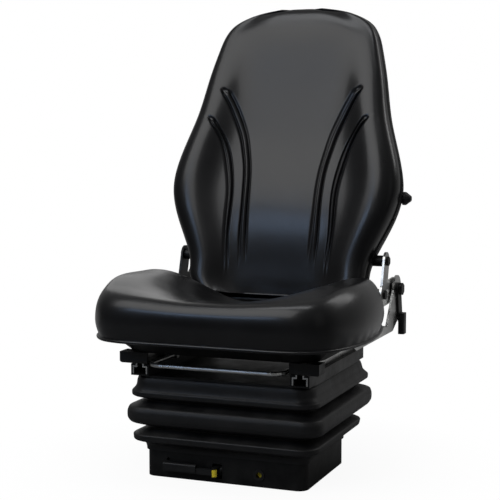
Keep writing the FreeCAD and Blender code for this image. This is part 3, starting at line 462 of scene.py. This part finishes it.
def backSizes(up):
    # half width, centre, bolster and depth, each splined through its stations
    held = np.clip(up, backShape["up"][0], backShape["up"][-1])
    names = ("half", "centre", "bolster", "depth")
    return np.stack([smoothAlong(backShape["up"], backShape[name], held) for name in names], -1)


def backSection(sizes, at):
    # closed curve through marks at x = across half, w = a centre + b bolster + c depth, mirrored to the left
    across = sizes[0] * np.array(backShape["across"])
    right = np.column_stack([across, np.array(backShape["deep"]) @ sizes[1:]])
    return closedCurve(np.concatenate([right, (right[1:-1] * [-1, 1])[::-1]]), at)


def ribLine(line, up):
    return smoothAlong(ribs["up"], ribs[line], np.clip(up, ribs["up"][0], ribs["up"][-1]))


def fromRibLine(line, x, up):
    # distance square to a sewn line: (|x| - line) / sqrt(1 + slope^2)
    across = ribLine(line, up)
    slope = ribLine(line, up + 1) - across
    return (np.abs(x) - across) / np.sqrt(1 + slope ** 2)


def ribPush(x, up):
    # inward push: depth exp(-(d / width)^2) on both lines of a rib, less the rise between them,
    # plus a dimple at its upper end
    push = np.zeros_like(x)
    for rib in ("inner", "outer"):
        top = ribs[rib + "Top"]
        inboard, outboard = fromRibLine(rib + "Inboard", x, up), fromRibLine(rib + "Outboard", x, up)
        fade = smoothStep((top - up) / ribs["topFade"]) * smoothStep((up - ribs["footUp"]) / ribs["footFade"])
        for line in (inboard, outboard):
            push += fade * ribs["depth"] * np.exp(-(line / ribs["width"]) ** 2)
        middle = (inboard + outboard) / 2
        width = np.maximum((inboard - outboard) / 2, ribs["leastWidth"])
        push -= fade * ribs["rise"] * np.exp(-(middle / (ribs["riseWidth"] * width)) ** 2)
        dimple = np.hypot(middle, up - (top - ribs["dimpleDown"]))
        push += ribs["dimpleDepth"] * np.exp(-(dimple / ribs["dimpleRadius"]) ** 2)
    return push


def ribColumns(up, sizes):
    # where the columns stand round a section: even between stops, and the stops are moved to where the curve
    # meets the sewn lines, so that columns run along them, or to a share of the half width above the ribs
    fine = np.linspace(0, backShape["frontPart"], 220)  # the right half of the front
    across = backSection(sizes, fine)[:, 0]
    widest = np.argmax(across)
    lines = [min(float(ribLine(line, up)), share * sizes[0]) for line, share in ribs["widestShare"].items()]
    met = np.interp(lines, across[:widest], fine[:widest])
    marks = np.concatenate([[0], met, [backShape["sideAt"]]])
    stops = np.array(backShape["stops"])
    even = np.linspace(0, 1, backShape["columns"], endpoint=False)
    return np.interp(even, np.concatenate([stops, 1 - stops[::-1]]), np.concatenate([marks, 1 - marks[::-1]]))


def backCushionGrid():
    # sections stacked up the back, denser where the ribs run, then the rib grooves pressed into the front
    bands = [np.linspace(low, high, count)[:-1] for low, high, count in backShape["bands"]]
    rows = np.concatenate(bands + [[backShape["top"]]])
    grid = []
    for up, sizes in zip(rows, backSizes(rows)):
        loop = backSection(sizes, ribColumns(up, sizes))
        front = smoothStep((backShape["frontDepth"] * sizes[3] - loop[:, 1]) / backShape["frontOver"])
        push = ribPush(loop[:, 0], np.full(len(loop), up)) * front
        grid.append(onBack(loop[:, 0], up, loop[:, 1] + push))
    return np.array(grid)


backCushion = surface("backrestCushionCover", backCushionGrid(), poles=True)
dress(backCushion, "vinyl", "backrest")
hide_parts("back_cushion")

backPipe = {"radius": 2.4, "inward": 29.2, "outset": 0.4, "low": 8, "high": 578, "rows": 150, "sides": 10}


def backPipePath():
    # the welt's line: out to the half width on both sides, at a steady distance behind the back's plane
    rise = np.linspace(backPipe["low"], backPipe["high"], backPipe["rows"])
    half = backSizes(rise)[:, 0] + backPipe["outset"]
    inward = np.full(len(rise), backPipe["inward"])
    return np.concatenate([onBack(half, rise, inward), onBack(-half, rise, inward)[::-1]])


backWelt = tubeAlong("backrestWelt", backPipePath(), backPipe["radius"], backPipe["sides"], closed=True)
dress(backWelt, "vinyl", "backrest")

shellShape = {"start": 32.0, "outside": 3.0, "thick": 5.0, "inside": 0.3, "low": -2.0, "high": 583.0,
              "wall": 3.0, "points": 70, "rows": 170, "crownRows": 9, "crownTurn": 1.45,
              "bossUp": (22.0, 86.0), "bossInward": 50.0, "bossFrom": 150.0, "bossRadius": 10.4,
              "bossGap": 0.3, "bossSides": 24, "sharp": math.radians(40)}


def shellArc(sizes, grow, deep):
    # the part of the back's section behind w = start, from the right edge round the rear to the left edge
    grown = sizes + [grow, 0, 0, deep]
    fine = np.linspace(0.1, 0.5, 200)  # the right side and half of the rear
    inward = backSection(grown, fine)[:, 1]
    front = np.argmin(inward)
    edge = np.interp(shellShape["start"], inward[front:], fine[front:])
    return backSection(grown, np.linspace(edge, 1 - edge, shellShape["points"]))


def backShellGrid():
    # a dish of even thickness: each row runs round the outside and back along the inside; the end rows close
    # it, and the crown rounds over, with up = wall sin t and the half width times cos t
    low, high, wall = shellShape["low"], shellShape["high"], shellShape["wall"]
    step = 0.01  # between the open rows and the closed ones
    crown = np.linspace(step, shellShape["crownTurn"], shellShape["crownRows"])
    rows = [(low, True, 1), (low + wall - step, True, 1)]
    rows += [(up, False, 1) for up in np.linspace(low + wall, high - wall, shellShape["rows"])]
    rows += [(high - wall + wall * math.sin(turn), True, math.cos(turn)) for turn in crown]
    grid = []
    for up, closed, share in rows:
        sizes = backSizes(up) * [share, 1, 1, 1]
        outer = shellArc(sizes, shellShape["outside"], shellShape["thick"])
        if closed:
            inner = outer[-1] + (outer[0] - outer[-1]) * np.linspace(0, 1, len(outer) + 2)[1:-1, None]
        else:
            inner = shellArc(sizes, shellShape["inside"], shellShape["inside"])[::-1]
        loop = np.concatenate([outer, inner])
        grid.append(onBack(loop[:, 0], up, loop[:, 1]))
    return np.array(grid)


backShell = surface("backrestShellMoulding", backShellGrid(), poles=True)
backShell.data.set_sharp_from_angle(angle=shellShape["sharp"])
dress(backShell, "black_plastic", "backrest")
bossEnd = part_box("back_bracket_right")[0][0] * 1000 - shellShape["bossGap"]
for side in (-1, 1):
    for up in shellShape["bossUp"]:
        ends = np.array([shellShape["bossFrom"], bossEnd]) * side
        path = onBack(ends, up, np.full(2, shellShape["bossInward"]))
        boss = tubeAlong("shellBoss", path, shellShape["bossRadius"], shellShape["bossSides"])
        boss.data.set_sharp_from_angle(angle=shellShape["sharp"])
        dress(boss, "black_plastic", "backrest")
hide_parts("back_shell")
print("backrest made")


bellowsShape = {
    # z, half width, front y, rear y of the folded profile's rows
    "rows": ((47, 152.8, -127.8, 107.8), (53, 153.2, -128.5, 108.5), (60, 158, -134, 116),
             (66, 170, -149, 139), (69, 173, -151.5, 146), (76, 173.5, -152, 150), (79, 170, -149, 148),
             (84, 156, -136, 140), (88, 149, -130, 137), (92, 156, -137, 148), (98, 176, -151, 172),
             (101, 180, -154, 184), (107, 182.5, -156.5, 192), (119, 182.5, -156.5, 194),
             (126, 180, -154, 194), (129, 175, -150, 190), (134, 160, -137, 173), (137, 155, -133, 168),
             (140, 159, -137, 173), (145, 172, -150, 190), (148, 175, -153, 194), (154, 175, -153, 194),
             (158, 172, -150.5, 191), (164, 168, -149, 185), (172, 167, -148, 180), (179, 165, -146, 178),
             (183.7, 160, -141, 176)),
    "between": 6, "softness": 0.6, "thickness": 2.4, "centreY": 15.0,
    # corner radii in the skirt and above it, at the front and at the rear
    "skirtRadii": np.array([19.0, 30.0]), "foldRadii": np.array([34.0, 36.0]),
    "skirtTop": 52.0, "skirtOver": 14.0,
    "cornerPoints": 14, "sidePoints": 18,
}


def roundedRect(half, front, rear, frontRadius, rearRadius):
    # corners as quarter circles joined by straight sides, as x and y columns
    corners = ((half - rearRadius, rear - rearRadius, rearRadius),
               (rearRadius - half, rear - rearRadius, rearRadius),
               (frontRadius - half, front + frontRadius, frontRadius),
               (half - frontRadius, front + frontRadius, frontRadius))
    arcs = []
    for quarter, (x, y, radius) in enumerate(corners):
        turn = np.linspace(quarter, quarter + 1, bellowsShape["cornerPoints"]) * math.pi / 2
        arcs.append(np.column_stack([x + radius * np.cos(turn), y + radius * np.sin(turn)]))
    steps = np.linspace(0, 1, bellowsShape["sidePoints"] + 2)[1:-1, None]
    loop = []
    for arc, nextArc in zip(arcs, arcs[1:] + arcs[:1]):
        loop += [arc, arc[-1] + (nextArc[0] - arc[-1]) * steps]
    return np.concatenate(loop)


def bellowsGrid():
    # level rounded rectangles; their sizes follow 0.6 spline + 0.4 straight through the profile's rows,
    # and the inside is the outside drawn in by the rubber's thickness
    rows = np.array(bellowsShape["rows"], float)
    steps = np.arange(len(rows))
    fine = np.linspace(0, len(rows) - 1, bellowsShape["between"] * len(rows))
    straight = np.stack([np.interp(fine, steps, rows[:, k]) for k in range(4)], -1)
    soft = bellowsShape["softness"]
    rows = soft * smoothAlong(steps, rows, fine) + (1 - soft) * straight
    grid = []
    for z, half, front, rear in rows:
        grown = smoothStep((z - bellowsShape["skirtTop"]) / bellowsShape["skirtOver"])
        radii = bellowsShape["skirtRadii"] + (bellowsShape["foldRadii"] - bellowsShape["skirtRadii"]) * grown
        loop = roundedRect(half, front, rear, *radii)
        grid.append(np.column_stack([loop, np.full(len(loop), z)]))
    outer = np.array(grid)
    away = (outer - [0.0, bellowsShape["centreY"], 0.0]) * [1, 1, 0]
    away /= np.linalg.norm(away, axis=-1, keepdims=True)
    inner = (outer - away * bellowsShape["thickness"])[::-1]
    return np.concatenate([outer, inner, outer[:1]])


bellows = surface("bellowsGaiter", bellowsGrid())
dress(bellows, "bellows_rubber", "base")
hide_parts("bellows")
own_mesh(bellows)
print("bellows made")


springShape = {"coils": 13, "perTurn": 20, "wire": 1.9, "narrow": 0.04, "hook": 9.0, "room": 1.2,
               "travel": 24.0, "sides": 8}


def springPath(low, high):
    # helix: x and z turn with radius r while y runs on evenly, and the ends narrow into hooks on the axis
    x, z = (low[0] + high[0]) / 2, (low[2] + high[2]) / 2
    along = np.linspace(0, 1, springShape["coils"] * springShape["perTurn"])
    turn = 2 * math.pi * springShape["coils"] * along
    ends = smoothStep(along / springShape["narrow"]) * smoothStep((1 - along) / springShape["narrow"])
    radius = ((high[0] - low[0]) / 2 - springShape["wire"]) * ends
    start, end = low[1] + springShape["hook"], high[1] - springShape["hook"]
    y = start + (end - start) * along
    coil = np.column_stack([x + radius * np.cos(turn), y, z + radius * np.sin(turn)])
    room = springShape["room"]
    return np.concatenate([[[x, low[1] + room, z]], coil, [[x, high[1] - room, z]]])


for name in ("spring_left", "spring_right"):
    low, high = (np.array(corner) * 1000 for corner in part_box(name))
    title = "wound" + name.title().replace("_", "")
    coilPiece = tubeAlong(title, springPath(low, high), springShape["wire"], springShape["sides"])
    dress(coilPiece, "spring_steel", "base")
    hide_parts(name)
    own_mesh(coilPiece)
print("springs made")


studio = {
    "floorSize": 14, "floorZ": -0.0006, "floorShade": (0.22, 0.22, 0.22), "floorWhite": (0.96, 0.96, 0.96),
    # the share of the floor that glows at two distances, smaller near the seat, where its shadow falls
    "glowShare": (0.93, 1.0), "glowReach": (0.15, 0.5),
    # the room's brightness at two heights of the ray's direction
    "roomLight": (0.05, 0.28), "roomHeight": (-0.05, 0.9),
    # how much of the white backdrop mirrors show, by how far behind the seat their rays go
    "mirrorShare": 0.18, "mirrorOnFloor": (0.0, 0.8), "mirrorInWorld": (0.1, 0.7),
}
lamps = {
    "keyLamp": {"place": (-0.75, -1.55, 2.15), "target": (0, 0.15, 0.55), "size": (2.3, 1.5), "power": 32.0},
    "fillLamp": {"place": (2.6, -0.9, 1.1), "target": (0, 0, 0.4), "size": (1.0, 1.6), "power": 0.7},
    "rimLamp": {"place": (1.7, 1.5, 1.9), "target": (0.1, 0.15, 0.6), "size": (0.6, 1.4), "power": 9.0},
    "backLamp": {"place": (-1.5, 2.1, 1.5), "target": (0, 0.1, 0.5), "size": (1.2, 1.2), "power": 3.5},
    "topLamp": {"place": (0.0, -0.45, 2.4), "target": (0, -0.1, 0.3), "size": (1.8, 0.5), "power": 14.0,
                "tint": (0.95, 0.97, 1.0)},
    "windowLamp": {"place": (-1.0, -2.25, 1.4), "target": (0, 0.1, 0.5), "size": (0.9, 0.3), "power": 5.5,
                   "tint": (0.45, 0.65, 1.0)},
}


def whiteRays(tree, direction, reach):
    # 1 for camera rays, and a share for mirror and glass rays that go to the backdrop behind the seat
    rays = tree.nodes.new("ShaderNodeLightPath").outputs
    behind = remap(tree, axisOf(tree, direction, "Y"), 0, studio["mirrorShare"], *reach)
    mirrored = mathNode(tree, "MAXIMUM", rays["Is Glossy Ray"], rays["Is Transmission Ray"])
    return mathNode(tree, "MAXIMUM", rays["Is Camera Ray"], mathNode(tree, "MULTIPLY", mirrored, behind))


def floorMaterial():
    # white where the camera looks, with a matt share that takes the shadow; grey for rays that light the seat
    material = bpy.data.materials.new("studioFloor")
    material.use_nodes = True
    tree = material.node_tree
    tree.nodes.clear()
    out = tree.nodes.new("ShaderNodeOutputMaterial")
    matt = tree.nodes.new("ShaderNodeBsdfDiffuse")
    glow = tree.nodes.new("ShaderNodeEmission")
    glow.inputs["Color"].default_value = (1, 1, 1, 1)
    mix = tree.nodes.new("ShaderNodeMixShader")
    place = objectCoords(tree)
    white = whiteRays(tree, place, studio["mirrorOnFloor"])
    tree.links.new(mixColours(tree, white, studio["floorShade"], studio["floorWhite"]), matt.inputs["Color"])
    length = tree.nodes.new("ShaderNodeVectorMath")
    length.operation = "LENGTH"
    tree.links.new(place, length.inputs[0])
    far = remap(tree, length.outputs["Value"], *studio["glowShare"], *studio["glowReach"])
    tree.links.new(mathNode(tree, "MULTIPLY", white, far), mix.inputs["Fac"])
    tree.links.new(matt.outputs[0], mix.inputs[1])
    tree.links.new(glow.outputs[0], mix.inputs[2])
    tree.links.new(mix.outputs[0], out.inputs["Surface"])
    return material


bpy.ops.mesh.primitive_plane_add(size=studio["floorSize"], location=(0, 0, studio["floorZ"]))
floor = bpy.context.active_object
floor.name = "studioFloorPlane"
floor.data.materials.append(floorMaterial())


def setWorld():
    # white to the camera; a dim room around the lamps for the rest, lighter above than near the floor
    world = bpy.data.worlds.new("studioWorld")
    scene.world = world
    world.use_nodes = True
    tree = world.node_tree
    background = tree.nodes["Background"]
    background.inputs["Color"].default_value = (1, 1, 1, 1)
    direction = tree.nodes.new("ShaderNodeTexCoord").outputs["Generated"]
    room = remap(tree, axisOf(tree, direction, "Z"), *studio["roomLight"], *studio["roomHeight"])
    strength = tree.nodes.new("ShaderNodeMapRange")
    tree.links.new(whiteRays(tree, direction, studio["mirrorInWorld"]), strength.inputs["Value"])
    tree.links.new(room, strength.inputs["To Min"])
    strength.inputs["To Max"].default_value = 1.0
    tree.links.new(strength.outputs["Result"], background.inputs["Strength"])


setWorld()

for name, setting in lamps.items():
    lamp = bpy.data.lights.new(name, "AREA")
    lamp.shape = "RECTANGLE"
    lamp.size, lamp.size_y = setting["size"]
    lamp.energy = setting["power"]
    lamp.color = setting.get("tint", (1, 1, 1))
    holder = bpy.data.objects.new(name, lamp)
    scene.collection.objects.link(holder)
    holder.location = setting["place"]
    aim = Vector(setting["target"]) - holder.location
    holder.rotation_euler = aim.to_track_quat("-Z", "Y").to_euler()

view = {"place": (0.821, -2.074, 0.598), "azimuth": 21.6, "pitch": 5.16,
        "focal": 1243.0, "width": 500.0, "sensor": 36.0}
camera = bpy.data.cameras.new("photoCamera")
camera.sensor_width = view["sensor"]
camera.lens = view["focal"] / view["width"] * camera.sensor_width
holder = bpy.data.objects.new("photoCamera", camera)
scene.collection.objects.link(holder)
holder.location = view["place"]
holder.rotation_euler = (math.radians(90 - view["pitch"]), 0, math.radians(view["azimuth"]))
bpy.context.scene.camera = holder
scene.view_settings.view_transform = "Standard"
print("studio set")

low, high = cadBounds
